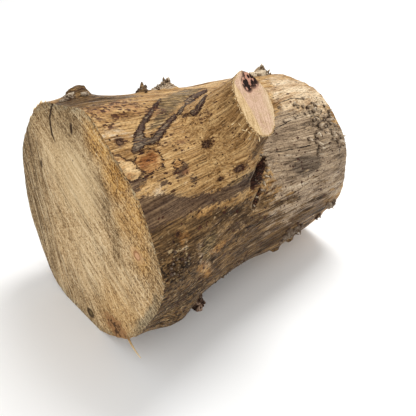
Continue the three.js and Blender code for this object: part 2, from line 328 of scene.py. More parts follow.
KNOT_EYES = [           # (along, around, half length, half width in mm)
    (86.5, 38.6, 3.6, 3.0), (12, 24.4, 4.2, 3.4), (111, 52.4, 6.5, 2.6), (90, 53.8, 3.4, 1.6),
    (85, 23, 2.2, 2.0), (45, -12.8, 4.4, 1.0), (28, 69, 2.4, 2.2), (142, 36, 2, 2), (188, -40, 5, 4),
    (70, -60, 4, 3), (230, 150, 5, 4), (120, -150, 6, 4), (60, 170, 4, 3), (250, -120, 4, 4),
]
CRACK_AND_SHADOW_LINES = [
    [(222, 24), (233, 22.6), (242, 22.4), (251, 22), (267, 25)],
    [(176, 50), (192, 52), (207, 53), (223, 54), (238, 55)],
    [(201, 38), (213, 37.6), (230, 36)],
    [(153, 66), (145, 69), (139, 71.4), (134, 74)],
    # A line of painted shadow where the limb's flank overlaps the trunk
    [(149, 47), (157, 48.6), (164, 50.4), (168, 53.4)],
    [(120, 84), (150, 88), (171, 86)],
    [(60, 120), (92, 118), (120, 121)],
    [(20, 160), (70, 163), (118, 160)],
    [(150, -60), (190, -57), (236, -61)],
    [(10, -90), (60, -94), (96, -91)],
    [(130, -130), (180, -133), (222, -129), (262, -131)],
]
along, around, out = places(points)
flat = np.stack([along, around * UNROLL], 1)
print("outlines:", {name: len(outlines) for name, outlines in OUTLINES.items()})

# %% [markdown]
# ## Relief
# Weather eats the soft wood and leaves the hard, so the side is grooved along the fibres, with broad lumps
# under them. The bark left in the crotch of the limb is a deep hollow, the strips of inner bark stand a
# little proud, and the flake by the rim has lifted. Each is a height in millimetres, added up for every
# point, and the points are then moved along their normals by it.

# %% Noise along the grain
def streaks(grain, run, width, seed=0.0):
    """Smooth noise from -1 to 1, drawn out by run along the fibre and width across it, both in mm."""
    scale = np.array([1 / run, 1 / width, 1 / width])
    return np.array([noise.noise(Vector(p)) for p in grain * scale + seed])

def hump(distance, half_width):
    return np.exp(-0.693 * (distance / half_width) ** 2)

def knot_eyes(flat):
    """How near each point is to a knot, as a share of its size: below 1 inside it."""
    nearest = np.full(len(flat), 9.0)
    for at, turned, half_length, half_width in KNOT_EYES:
        gap = (flat - (at, turned * UNROLL)) / (half_length, half_width)
        nearest = np.minimum(nearest, np.hypot(gap[:, 0], gap[:, 1]))
    return nearest

# %% Raise the relief
TRUNK_OUT = 122         # mm from the pith: what is further out is on the limb
LEVEL = 1.2             # mm: points of the flats this close to the floor are laid on it
bark, red, cream, crotch = (patch_distance(flat, OUTLINES[name])
                            for name in ("bark", "red", "cream", "crotch"))
height = 0.9 * streaks(grain, 60, 30)
height += 0.7 * streaks(grain, 70, 7, 5) + 0.5 * streaks(grain, 26, 4.2, 9)
height += 0.5 * hump(bark, 2.2) * (bark < 0) + 0.45 * smooth_step(0.5, -1.5, bark)
height += -0.9 * smooth_step(0.5, -2.5, red) + 0.9 * smooth_step(0.4, -1.4, cream)
height += np.where(out < TRUNK_OUT, -8.0 * smooth_step(1.5, -7, crotch), 0)
height += 0.9 * hump(knot_eyes(flat) - 1.25, 0.3) - 0.8 * smooth_step(1.1, 0.3, knot_eyes(flat))
comb = hump(along - 20, 13) * hump(around - 80, 5)
height += 2.2 * comb * (0.3 + streaks(grain, 4, 3.2, 3))
off_floor = smooth_step(1.5, 6, points[:, 2] * 1000)
points = points + point_rows(log_mesh, "vertex_normals") * (height * off_floor)[:, None] * MM
points[(off_floor < 0.05) & (points[:, 2] < LEVEL * MM), 2] = 0
points[:, 2] = np.maximum(points[:, 2], 0)
log_mesh.vertices.foreach_set("co", points.ravel())
print("relief from", round(height.min(), 1), "to", round(height.max(), 1), "mm")

# %% [markdown]
# ## The saw cuts
# Each cut is one bisecting plane that throws away what lies beyond it, and the hole is filled. A flat fill
# has no points inside it, and a sawn face isn't quite flat: the chain leaves shallow ripples. So the fill is
# sliced by many more planes, and its inner points are pressed in by a fraction of a millimetre.

# %% Saw the ends
SAW = {                 # how deep the ripples are and how far apart the slices, in mm, and their turn
    "butt": (0.5, 4.5, radians(-27)),
    "top": (0.4, 6.0, radians(20)),
    "limb": (0.2, 3.0, radians(60)),
}
SAWN_WITHIN = {"butt": 1.0, "top": 1.0, "limb": 0.07}    # m from the middle: the limb's spares the trunk
SLICED_WITHIN = {"butt": 150, "top": 150, "limb": 50}    # mm from the middle

def across_cut(facing):
    """Two directions in a cut face: to the viewer's right, and up."""
    up = Vector(UPRIGHT) - Vector(facing) * Vector(UPRIGHT).dot(Vector(facing))
    up.normalize()
    return up.cross(Vector(facing)).normalized(), up

def with_edges(faces):
    """Faces with their edges and corners, in the same order on every run."""
    edges = [e for f in faces for e in f.edges]
    corners = [v for f in faces for v in f.verts]
    return list(dict.fromkeys([*faces, *edges, *corners]))

def keep_in_box(shape):
    """Draws in the few points that stand past the solid's own box."""
    for v in shape.verts:
        v.co = [min(max(c, low), high) for c, low, high in zip(v.co, cad_low, cad_high)]

wood = bmesh.new()
wood.from_mesh(log_mesh)
for number, (name, (middle, facing, _, _)) in enumerate(CUTS.items(), 1):
    deep, gap, turn = SAW[name]
    middle_m, normal = Vector(middle) * MM, Vector(facing)
    near = [f for f in wood.faces if (f.calc_center_median() - middle_m).length < SAWN_WITHIN[name]]
    bmesh.ops.bisect_plane(wood, geom=with_edges(near), plane_co=middle_m, plane_no=normal, clear_outer=True)
    rim = [e for e in wood.edges if e.is_boundary]
    cap = bmesh.ops.holes_fill(wood, edges=rim, sides=0)["faces"]
    right, up = across_cut(facing)
    turned = Matrix.Rotation(turn, 3, normal)
    mark_way, mark_across = turned @ right, turned @ up
    for slice_way, slice_gap in ((mark_across, gap), (mark_way, gap * 3)):
        to_edge = int(SLICED_WITHIN[name] / slice_gap)
        for i in range(-to_edge, to_edge + 1):
            at = middle_m + slice_way * (i * slice_gap * MM)
            made = bmesh.ops.bisect_plane(wood, geom=with_edges(cap), plane_co=at, plane_no=slice_way)
            cap = [g for g in made["geom"] if isinstance(g, bmesh.types.BMFace)]
    cap = set(cap)
    for v in {v for f in cap for v in f.verts if cap.issuperset(v.link_faces)}:
        place = (v.co - middle_m) * 1000
        ripple = noise.noise(Vector((place.dot(mark_way) / 60, place.dot(mark_across) / 5, 3)))
        v.co -= normal * (deep * (0.5 + ripple) * MM)
    for f in cap:
        f.material_index = number
    print(name, "face has", len(cap), "parts")
bmesh.ops.recalc_face_normals(wood, faces=wood.faces)
keep_in_box(wood)
wood.to_mesh(log_mesh)
wood.free()
log_mesh.polygons.foreach_set("use_smooth", [True] * len(log_mesh.polygons))
log_mesh.set_sharp_from_angle(angle=radians(50))
print("the log has", sum(len(p.vertices) - 2 for p in log_mesh.polygons), "triangles")

# %% [markdown]
# ## What stands on the skin
# Pine leaves many small things on its wood when the bark is gone: dead bud stubs like bent thorns, burrs,
# and torn fibres beside a cut. Each is made of short tapered rods and lumps, set on the skin by shooting a
# ray at it.

# %% Where the stubs stand
skin_bm = bmesh.new()
skin_bm.from_mesh(log_mesh)
skin_tree = BVHTree.FromBMesh(skin_bm)
skin_bm.free()
chance = random.Random(11)
RAY_FROM = 175          # mm from the pith, outside everything

def on_skin(along, around):
    """The point of the skin at this place, in metres, and the way straight out of it."""
    found = skin_tree.ray_cast(point_at(along, around, RAY_FROM), -Vector(outwards(around)))
    return found[0], found[1]

STUBS = [               # (along, around, width mm, height mm, how dark)
    (249, 27, 4.4, 5.2, 0.0), (259, 30, 5.0, 6.2, 0.0), (264, 32, 5.0, 6.0, 0.1), (269, 35, 5.8, 7.6, 0.0),
    (266, 40, 5.4, 6.4, 0.0), (261, 41, 5.4, 7.0, 0.1), (263, 46, 6.0, 7.8, 0.0), (256, 49, 5.6, 7.0, 0.1),
    (252, 51, 5.6, 7.2, 0.0), (240, 51, 5.4, 6.2, 0.1), (249, 54, 6.0, 8.0, 0.0), (251, 58, 6.0, 7.4, 0.1),
    (248, 62, 5.2, 6.2, 0.1), (295, 33, 4.6, 6.4, 0.0), (297, 38, 5.2, 6.6, 0.0), (283, 44, 6.0, 7.2, 0.0),
    (281, 53, 6.4, 8.2, 0.1), (288, 59, 7.0, 8.6, 0.1), (295, 57, 5.2, 6.6, 0.1), (275, 31, 5.0, 5.8, 0.1),
    (168, 56.4, 4.2, 4.4, 0.1), (166, 59.4, 4.6, 4.6, -0.1), (162, 61.8, 3.8, 3.8, -0.2),
    (157, 65.0, 4.2, 4.2, -0.3), (151, 68.2, 3.8, 3.4, 0.3), (143, 71.0, 3.6, 3.4, 0.3),
    (137, 74.6, 4.2, 3.8, 0.3), (169, 63.0, 3.0, 3.0, 0.4),
]
STUB_DRIFTS = [         # (along, around, half length, half degrees, how many, width, height, how dark)
    (264, 42, 22, 14, 16, 2.8, 3.0, 0.3), (290, 50, 9, 16, 10, 3.2, 3.8, 0.2),
    (275, 31, 16, 5, 6, 2.8, 3.0, 0.1),
    (20, 80, 12, 4.5, 10, 3.4, 2.0, 1.0), (215, 112, 16, 5, 6, 6.0, 4.4, 0.9),
    (277, 119, 9, 6, 5, 6.4, 4.6, 0.8),
    (284, 105, 12, 5, 4, 5.0, 4.0, 0.7), (109, -24, 6, 4, 5, 4.0, 5.0, 0.8),
    (134, -23, 14, 4, 9, 4.0, 4.6, 0.1),
    (278, -20, 14, 6, 9, 4.0, 4.6, -0.1), (150, 62, 12, 3, 16, 2.6, 1.8, 1.0),
    (262, -70, 24, 14, 22, 4.6, 5.4, 0.3), (150, -150, 24, 12, 18, 4.2, 4.6, 0.5),
    (70, -60, 20, 8, 8, 3.4, 3.4, 0.4), (70, 124, 9, 4, 12, 3.4, 3.2, 1.0),
    (120, 116, 20, 6, 14, 3.0, 2.4, 0.9),
    (230, 30, 22, 12, 5, 2.6, 2.2, 0.3),
]
for at, turned, half_length, half_turn, number, width, tall, dark in STUB_DRIFTS:
    for _ in range(number):
        size = chance.uniform(0.6, 1.25)
        STUBS.append((at + half_length * chance.gauss(0, 0.55), turned + half_turn * chance.gauss(0, 0.55),
                      width * size, tall * size * chance.uniform(0.7, 1.2), dark + chance.uniform(-0.2, 0.2)))
STUBS = [stub for stub in STUBS if 2 < stub[0] < 300]
print("stubs:", len(STUBS))

# %% A tapered rod, bent and roughened
def new_shape():
    shape = bmesh.new()
    shape.verts.layers.float.new("tipward")
    shape.verts.layers.float.new("dark")
    return shape

def store(shape, v, tipward, dark):
    """Keeps how near the tip a corner is, and how dark, for the material to read."""
    v[shape.verts.layers.float["tipward"]] = tipward
    v[shape.verts.layers.float["dark"]] = dark

def add_rod(shape, foot, way, width, tall, bend, dark=0.0, sides=6, bands=3, sharp=0.2, rough=0.12):
    """Adds a rod to the shape: its foot and way are a place and a direction, its sizes are in mm."""
    turn = way.to_track_quat("Z", "Y").to_matrix().to_4x4()
    middle = Matrix.Translation(foot + way * (tall * 0.42 * MM))
    before = len(shape.verts)
    made = bmesh.ops.create_cone(shape, cap_ends=True, segments=sides, radius1=width / 2 * MM,
                                 radius2=width / 2 * sharp * MM, depth=tall * MM, matrix=middle @ turn)
    long_edges = [e for e in dict.fromkeys(e for v in made["verts"] for e in v.link_edges)
                  if abs((e.verts[0].co - e.verts[1].co).normalized().dot(way)) > 0.6]
    bmesh.ops.subdivide_edges(shape, edges=long_edges, cuts=bands - 1)
    shape.verts.ensure_lookup_table()
    for v in shape.verts[before:]:
        share = min(max((v.co - foot).dot(way) / (tall * MM) + 0.08, 0), 1)
        v.co += bend * (share ** 2 * tall * MM)
        v.co += noise.noise_vector(v.co * 450) * (width * rough * MM)
        store(shape, v, share, dark)

def add_piece(name, mesh):
    """Puts a mesh in the scene as a piece that stands for part of the log."""
    piece = bpy.data.objects.new(name, mesh)
    bpy.context.scene.collection.objects.link(piece)
    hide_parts("log")
    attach(piece, "root")
    return piece

def finish_piece(name, shape):
    keep_in_box(shape)
    bmesh.ops.recalc_face_normals(shape, faces=shape.faces)
    mesh = bpy.data.meshes.new(name)
    shape.to_mesh(mesh)
    shape.free()
    mesh.polygons.foreach_set("use_smooth", [True] * len(mesh.polygons))
    print(name, "has", len(mesh.polygons), "faces")
    return add_piece(name, mesh)

# %% Bud stubs
shape = new_shape()
feet = []
for at, turned, width, tall, dark in STUBS:
    foot, out_of = on_skin(at, turned)
    feet.append(foot)
    way = (out_of * 0.7 + Vector(outwards(turned)) * 0.5).normalized()
    lean = Vector([chance.uniform(-1, 1) for _ in range(3)])
    lean = (lean - way * lean.dot(way)).normalized() * chance.uniform(0.3, 0.8)
    lean -= Vector(outwards(turned - 90)) * 0.3
    add_rod(shape, foot, way, width * 0.95, tall * 0.95, lean, dark, sharp=0.16, rough=0.22)
bud_stubs = finish_piece("bud_stubs", shape)

# %% The hanging knob
def add_lump(shape, middle, out_of, radius, squash, dark, rough=1.0):
    """Adds a ragged lump of torn bark: a ball drawn out along the log and flattened. Its sizes are in mm."""
    turn = Matrix((UP_PITH, Vector(out_of).cross(Vector(UP_PITH)), out_of)).transposed().to_4x4()
    place = Matrix.Translation(middle) @ turn @ Matrix.Diagonal((1.3, 1, squash, 1))
    before = len(shape.verts)
    bmesh.ops.create_icosphere(shape, subdivisions=3, radius=radius * MM, matrix=place)
    shape.verts.ensure_lookup_table()
    for v in shape.verts[before:]:
        away = (v.co - middle).normalized()
        ridge = 0.3 - abs(noise.noise(v.co * 260)) * 1.5
        lump = noise.noise(v.co * 170) * 0.4 + ridge * 0.5 * rough
        v.co += away * (lump * radius * MM)
        store(shape, v, 0.5 + lump * 1.1, dark)

KNOB_LUMPS = [          # mm out of the log, up the log, upward, and the radius
    (2.0, 0, 0, 6.6), (5.6, -2.2, -2.6, 4.6), (4.8, 2.8, 0.6, 4.0), (2.6, -5.0, 2.4, 3.8),
    (7.2, 0.4, -1.0, 3.2),
]
shape = new_shape()
foot, out_of = on_skin(71, 125)
for out_mm, along_mm, up_mm, radius in KNOB_LUMPS:
    middle = foot + (out_of * out_mm + Vector(UP_PITH * along_mm + UPRIGHT * up_mm)) * MM
    add_lump(shape, middle, out_of, radius, 1.0, 0)
hanging_knob = finish_piece("hanging_knob", shape)

# %% Burrs: clumps of torn bark with thorns standing in them
BURRS = [               # (along, around, how many, half length, half degrees, radius mm, how dark)
    (110, -25, 6, 4, 1.6, 3.6, 0.75), (136, -25, 13, 10, 2.2, 3.8, 0.15), (274, -20, 18, 13, 3.2, 4.4, -0.6),
    (263, -19, 9, 5, 2.2, 4.0, -0.5), (287, 108, 9, 6, 2.6, 4.2, 0.6), (216, 117, 16, 11, 3, 4.4, 0.8),
    (210, -118, 10, 10, 4, 4.0, 0.5), (120, -145, 6, 6, 3, 3.4, 0.6), (25, -22, 8, 7, 4.0, 4.4, 0.35),
]

def skin_out(along, around):
    """How far the skin is from the pith at this place, in mm."""
    return float((np.array(on_skin(along, around)[0]) * 1000 - BUTT_MIDDLE) @ outwards(around))

shape = new_shape()
for at, turned, number, half_length, half_turn, radius, dark in BURRS:
    plain_out = sorted(skin_out(at + x, turned + y) for x in (-16, 0, 16) for y in (-8, 8))[2]
    for _ in range(number):
        here, angle = at + half_length * chance.gauss(0, 0.6), turned + half_turn * chance.gauss(0, 0.6)
        # The solid has a spike in the middle of each burr, and the lumps stand at all heights of it
        rise = max(skin_out(here, angle) - plain_out, 0.5)
        share = chance.uniform(0, 1)
        foot = point_at(here, angle, plain_out + rise * share)
        size = radius * chance.uniform(0.9, 1.2) * (1.1 - 0.5 * share)
        shade = dark + chance.uniform(-0.25, 0.25)
        add_lump(shape, foot, on_skin(here, angle)[1], size, chance.uniform(0.6, 0.9), shade, 1.5)
        lean = Vector(UP_PITH) * chance.uniform(-0.9, 0.9) + Vector(TO_BACK) * chance.uniform(-0.6, 0.6)
        add_rod(shape, foot, Vector(outwards(angle)), size * 1.1, size * chance.uniform(0.8, 1.4), lean,
                shade, sides=5, sharp=0.1, rough=0.25)
burrs = finish_piece("burrs", shape)

# %% The splinter under the butt
SPLINTER_BEND, SPLINTER_END = Vector((1, -8, -11)), Vector((3, -19, -17))    # mm along, back and up
SPLINTER_WIDE, SPLINTER_THICK, SPLINTER_TIP = 2.6, 1.5, 0.42                 # mm, mm, and a share of those
SPLINTER_AROUND = 142
shape = new_shape()
foot, _ = on_skin(2.5, SPLINTER_AROUND)
foot -= Vector(outwards(SPLINTER_AROUND)) * (2.5 * MM)
bmesh.ops.create_cone(shape, cap_ends=True, segments=8, radius1=0.5, radius2=0.5, depth=1)
upright = [e for e in shape.edges if abs(e.verts[0].co.z - e.verts[1].co.z) > 0.5]
bmesh.ops.subdivide_edges(shape, edges=upright, cuts=11)
for v in shape.verts:
    share = v.co.z + 0.5
    way = SPLINTER_BEND * (2 * share * (1 - share)) + SPLINTER_END * share ** 2
    slope = SPLINTER_BEND * (2 - 4 * share) + SPLINTER_END * (2 * share)
    thick = Vector((1, 0, 0)).cross(slope).normalized()
    thin = 1 + (SPLINTER_TIP - 1) * share
    way = way + Vector((1, 0, 0)) * (v.co.x * thin * SPLINTER_WIDE) + thick * (v.co.y * thin * SPLINTER_THICK)
    v.co = foot + Vector(way.x * UP_PITH + way.y * TO_BACK + way.z * UPRIGHT) * MM
    store(shape, v, share, 0)
splinter = finish_piece("splinter", shape)

# %% Torn fibres beside the cuts
def rim_points(name):
    """The corners of the log's sharp edge around a cut."""
    sharp = {i for e in log_mesh.edges if e.use_edge_sharp for i in e.vertices}
    corners = [log_mesh.vertices[i].co.copy() for i in sorted(sharp)]
    return [p for p in corners if on_cut(name, np.array(p) * 1000, 0.5)]

shape = new_shape()
middle, facing, way, _ = CUTS["limb"]
right, up = across_cut(facing)
for foot in rim_points("limb"):
    away = (foot * 1000 - Vector(middle)).normalized()
    left_side = away.dot(right) < 0.35 and away.dot(up) < 0.9
    if chance.random() > (0.7 if left_side else 0.12):
        continue
    tall = chance.uniform(0.9, 2.6) if left_side else chance.uniform(0.8, 1.6)
    along_limb = (away * chance.uniform(0.0, 0.8) - Vector(way) * chance.uniform(0.5, 1.0)).normalized()
    sideways = away.cross(Vector(facing)) * chance.uniform(-1.2, 1.2)
    add_rod(shape, foot - away * (0.5 * MM), along_limb, chance.uniform(0.9, 2.0), tall, sideways,
            sides=4, bands=2, sharp=0.45)
for at, turned in ((108, 38), (110, 39), (112, 39.5), (114, 40), (116, 41), (118, 42), (121, 43), (125, 44)):
    foot, out_of = on_skin(at + chance.uniform(-1, 1), turned + chance.uniform(-1, 1))
    curl = Vector(UP_PITH) * chance.uniform(-0.9, 0.9) + Vector((0, 0, -1)) * chance.uniform(0.2, 1.1)
    add_rod(shape, foot, (out_of + Vector((0, 0, 0.3))).normalized(), 1.3, chance.uniform(3.5, 6.5), curl,
            sides=4, bands=6, sharp=0.6, rough=0.2)
middle, facing, way, _ = CUTS["butt"]
right, up = across_cut(facing)
for foot in rim_points("butt"):
    away = (foot * 1000 - Vector(middle)).normalized()
    to_right = away.dot(right)
    torn = (0.3 < to_right < 0.75 and away.z < 0) or (-0.75 < to_right < -0.45 and away.z > 0)
    if not torn or chance.random() > 0.35:
        continue
    outward = chance.uniform(1.0, 2.0) if away.z > 0 else chance.uniform(0.1, 0.5)
    add_rod(shape, foot - away * (0.7 * MM), (away * outward - Vector(way)).normalized(),
            chance.uniform(0.9, 2.2), chance.uniform(1.6, 4.6), Vector(way) * chance.uniform(-0.5, 0.2),
            sides=4, bands=2, sharp=0.5)
torn_fibres = finish_piece("torn_fibres", shape)

# %% The log as a piece of the model
log_wood = add_piece("log_wood", log_mesh)
print("pieces:", [o.name for o in (bud_stubs, hanging_knob, burrs, splinter, torn_fibres, log_wood)])

# %% [markdown]
# ## What the materials need to know
# A material only sees one point at a time, so anything that depends on the place is stored on the mesh as an
# attribute. Distances to marks come out crisp even on a coarse mesh, because a distance changes evenly from
# point to point. Broad changes, such as where weather has turned the wood grey, are soft blots, and so are
# the painted shade low down and the painted highlight on top of the thin end.

# %% Soft blots of weather, painted shade and painted highlight
BLOTS = {               # (along, around, half length, half degrees, strength)
    # Dark and brown: weathered wood, and painted shade low down and underneath
    "weathered_and_shaded": [      # dark and brown
        (50, 80, 60, 13, 0.8), (30, 105, 60, 22, 0.9), (130, 88, 60, 17, 0.75), (150, 115, 70, 20, 0.85),
        (240, 100, 60, 26, 0.7), (250, 76, 26, 7, 0.5), (18, -14, 34, 9, 0.75), (190, 40, 14, 10, 0.2),
        (90, 150, 90, 24, 0.7), (60, -150, 60, 30, 0.6), (230, -110, 60, 26, 0.5), (120, -60, 50, 14, 0.35),
        (210, 180, 70, 26, 0.5), (70, -18, 26, 6, 0.45), (20, 64, 26, 5, 0.5), (229, 71, 20, 6, 0.9),
        (34, -24, 14, 9, 0.8), (8, 2, 16, 12, 0.5), (205, 112, 22, 7, 0.5), (42, -7, 34, 5, 0.7),
        (136, 46, 16, 6, 0.7), (110, -25, 6, 3, 1.5), (130, -24, 5, 3, 0.8),
    ],
    "silvered": [       # grey and dry
        (225, 46, 34, 16, 0.75), (262, 62, 40, 22, 0.55), (190, 62, 26, 10, 0.45), (62, 82, 16, 9, 0.4),
        (200, 88, 50, 14, 0.4), (292, 76, 22, 22, 0.6), (14, 22, 12, 6, 0.3), (186, 46, 14, 7, 0.6),
        (138, -25, 10, 4, 1.5), (274, -20, 12, 5, 1.3), (272, 33, 18, 8, 0.7), (210, -118, 12, 5, 1.2),
        (150, -92, 70, 24, 0.6), (40, -95, 40, 24, 0.4), (280, -70, 40, 30, 0.5), (230, 150, 50, 20, 0.4),
        (110, -170, 50, 20, 0.35), (55, 22, 26, 5, 0.25),
    ],
    # Pale: a painted highlight on top of the thin end, and pale bleached patches elsewhere
    "bleached_and_highlit": [       # pale and clean
        (284, 25, 24, 9, 0.7), (274, 8, 24, 13, 1.0), (246, 22, 22, 8, 0.5), (20, 22, 24, 5, 0.3),
        (286, 34, 16, 8, 0.35), (62, 92, 12, 4, 0.4), (292, -30, 14, 10, 0.6), (90, -35, 30, 6, 0.3),
        (180, -150, 30, 8, 0.4), (28, 50, 16, 2.4, 0.4),
    ],
    "dusty": [          # dark grey dust in the hollows
        # (162, 51) is painted shade in the corner where the limb's flank overlaps the trunk
        (222, 65, 24, 6, 0.9), (240, 70, 14, 6, 0.5), (205, 58, 14, 4, 0.2), (162, 51, 8, 3, 0.7),
        (30, 57, 24, 5, 0.7), (250, 44, 18, 10, 0.2), (12, -6, 14, 8, 0.5), (70, 60, 30, 4, 0.4),
        (240, -80, 40, 12, 0.6), (60, 150, 50, 12, 0.6),
    ],
    "speckled": [       # dotted with red crumbs of inner bark
        (28, 8, 18, 5, 1.6), (46, 3, 14, 4, 1.4), (58, 0, 8, 3, 1.2), (12, 15, 8, 3, 1.0), (13, 6, 8, 4, 1.4),
        (93, 28.5, 5, 2, 1.3), (66, 34, 16, 3, 0.8), (70, 14, 10, 3, 0.8), (60, 12, 16, 5, 0.5),
        (56, 46, 12, 3, 0.9), (60, 66, 30, 4, 0.4), (120, 56, 22, 4, 0.4), (150, 26, 26, 8, 0.3),
        (220, 70, 60, 16, 0.4), (60, 100, 60, 26, 0.5), (200, 120, 70, 26, 0.5), (100, -70, 70, 30, 0.5),
        (200, -150, 70, 40, 0.5), (28, 30, 22, 3, 0.5), (120, 10, 30, 6, 0.3),
    ],
    "torn": [           # rough, with fibres pulled out
        (14, 100, 18, 22, 1.3), (40, 112, 30, 16, 0.9), (20, 79, 14, 5, 0.7), (90, 118, 30, 10, 0.5),
        (262, 44, 26, 16, 0.6), (290, 50, 12, 20, 0.5), (140, 68, 10, 6, 0.6), (30, -100, 30, 20, 0.6),
        (10, 160, 14, 26, 0.7), (240, -60, 40, 20, 0.5), (281, -21, 10, 6, 0.8), (138, -25, 8, 4, 0.8),
    ],
}

def blots(along, around, table):
    total = np.zeros(len(along))
    for at, turned, half_length, half_turn, strength in table:
        turn = (around - turned + 540) % 360 - 180
        total += strength * hump(along - at, half_length) * hump(turn, half_turn)
    return np.clip(total, 0, 1)

# %% Store the attributes
LIMB_OUT_FROM = 128     # mm from the pith: no crotch is drawn further out than this

def keep(name, values, kind="FLOAT"):
    made = log_mesh.attributes.new(name, kind, "POINT")
    made.data.foreach_set("vector" if kind == "FLOAT_VECTOR" else "value", np.asarray(values, float).ravel())

def nearest_gap(targets):
    """Gives a function that says how far in mm a vertex is from the nearest target."""
    tree_of_points = KDTree(len(targets))
    for i, place in enumerate(targets):
        tree_of_points.insert(place, i)
    tree_of_points.balance()
    return lambda v: tree_of_points.find(v.co)[2] * 1000

points = point_rows(log_mesh)
grain, on_limb = fibres(points)
along, around, out = places(points)
flat = np.stack([along, around * UNROLL], 1)
keep("grain", grain, "FLOAT_VECTOR")
for name, outlines in OUTLINES.items():
    keep(name, patch_distance(flat, outlines) + (20 * (out > LIMB_OUT_FROM) if name == "crotch" else 0))
keep("crack", crack_distance(flat, CRACK_AND_SHADOW_LINES))
keep("knot", knot_eyes(flat))
keep("limb", on_limb)
for name, table in BLOTS.items():
    keep(name, blots(along, around, table))
# The distance to the bud stubs' feet: the material paints a shadow round each
to_stub = nearest_gap(feet)
keep("stub", [min(to_stub(v), FAR) for v in log_mesh.vertices])

sawn = np.zeros((len(points), 3))
rim = np.full(len(points), FAR)
for name, (middle, facing, _, _) in CUTS.items():
    face = on_cut(name, points * 1000, 1.2)
    for column, way in enumerate(across_cut(facing)):
        sawn[face, column] = ((points * 1000 - middle) @ np.array(way))[face]
    to_rim = nearest_gap(rim_points(name))
    for i in np.flatnonzero(face):
        rim[i] = to_rim(log_mesh.vertices[i])
keep("sawn", sawn, "FLOAT_VECTOR")
keep("rim", rim)
print("attributes:", len(log_mesh.attributes))

# %% [markdown]
# ## Building a material from parts
# Every finish here is made of the same few moves: take a coordinate, draw noise out along it, cut the noise
# into a mask, and lay one colour over another through the mask. A helper for each move keeps the recipes
# short enough to read as recipes. What a node gives out is wrapped as a Value, so that plain arithmetic adds
# the next node. Colours are given as a camera would record them and turned into light.

# %% Shader helpers
class Value:
    """What a node gives out. Arithmetic on it adds a node to the material that was started last."""

    def __init__(self, socket):
        self.socket = socket

    def __add__(self, other):
        return calc("ADD", self, other)

    def __sub__(self, other):
        return calc("SUBTRACT", self, other)

    def __mul__(self, other):
        return calc("MULTIPLY", self, other)

    def __abs__(self):
        return calc("ABSOLUTE", self)

def start(name):
    """Starts a material. From here on, every helper adds its nodes to this one."""
    global tree
    made = bpy.data.materials.new(name)
    made.use_nodes = True
    tree = made.node_tree
    tree.nodes.clear()
    return made

def put(kind, inputs, out=0, **settings):
    """Adds a node, sets it up, wires it, and hands back one of its outputs."""
    node = tree.nodes.new("ShaderNode" + kind)
    for key, value in settings.items():
        setattr(node, key, value)
    for key, value in inputs.items():
        if isinstance(value, Value):
            tree.links.new(value.socket, node.inputs[key])
        else:
            node.inputs[key].default_value = value
    return Value(node.outputs[out]) if node.outputs else node

def calc(operation, a, b=0.0):
    return put("Math", {0: a, 1: b}, operation=operation)

def vector(operation, a, b):
    return put("VectorMath", {0: a, 1: b}, operation=operation)

def stored(name, out="Fac"):
    return put("Attribute", {}, out, attribute_name=name)

def drawn(source, run, width):
    """Shrinks a coordinate so that noise on it is drawn out by run one way and by width across, in mm."""
    return vector("MULTIPLY", source, (1 / run, 1 / width, 1 / width))

def noise_on(source, detail, rough, out=0):
    return put("TexNoise", {"Vector": source, "Scale": 1.0, "Detail": detail, "Roughness": rough}, out)

def clouds(source, run, width, detail, rough):
    return noise_on(drawn(source, run, width), detail, rough)

def cells(source, run, width):
    """A pattern of cells: how far off the middle of the nearest cell is."""
    return put("TexVoronoi", {"Vector": drawn(source, run, width), "Scale": 1.0, "Randomness": 1.0})

def shows(near, cover):
    """1 in the cells that show and 0 in the rest: a cell's own colour decides, by its red."""
    red_of_cell = put("SeparateColor", {"Color": Value(near.socket.node.outputs["Color"])})
    return calc("LESS_THAN", red_of_cell, cover)

def mask(value, low, high):
    """0 at low, 1 at high, and smooth between them; low may be the larger."""
    inputs = {"Value": value, "From Min": low, "From Max": high, "To Min": 0.0, "To Max": 1.0}
    if low > high:
        inputs.update({"From Min": high, "From Max": low, "To Min": 1.0, "To Max": 0.0})
    return put("MapRange", inputs, interpolation_type="SMOOTHSTEP")

def strong(value, gain):
    """Pulls noise away from its middle, so that its light and dark lie further apart."""
    return (value - 0.5) * gain + 0.5

def mixed(*parts):
    """Adds up noises, each with its share."""
    total = parts[0][0] * parts[0][1]
    for value, share in parts[1:]:
        total = total + value * share
    return total

def strongest(*parts):
    """The strongest of several patches, each with its share."""
    total = parts[0][0] * parts[0][1]
    for patch, share in parts[1:]:
        total = calc("MAXIMUM", total, patch * share)
    return total

def light(red, green, blue):
    """A colour from 0 to 255, as a photo records it, as the light that a shader wants."""
    linear = (((c / 255 + 0.055) / 1.055) ** 2.4 if c > 10 else c / 3294 for c in (red, green, blue))
    return (*linear, 1)

def lay(amount, under, over, way="MIX"):
    """Lays one colour over another as far as the amount says."""
    under, over = (light(*c) if isinstance(c, tuple) else c for c in (under, over))
    return put("Mix", {0: amount, 6: under, 7: over}, out=2, data_type="RGBA", blend_type=way)

def ladder(value, *steps):
    """A colour ramp: each step is a value and the red, green and blue it gets."""
    made = put("ValToRGB", {0: value})
    ramp = made.socket.node.color_ramp
    while len(ramp.elements) < len(steps):
        ramp.elements.new(0.5)
    for element, (at, *colour) in zip(ramp.elements, steps):
        element.position, element.color = at, light(*colour)
    return made

def end(colour, roughness, height, depth):
    """Puts the shader on: the height is from 0 to 1, and depth says how many mm that is."""
    normal = put("Bump", {"Height": height, "Distance": depth * MM, "Strength": 1.0})
    shader = put("BsdfPrincipled", {"Base Color": colour, "Roughness": roughness, "Normal": normal,
                                    "Specular IOR Level": 0.08})
    put("OutputMaterial", {"Surface": shader})
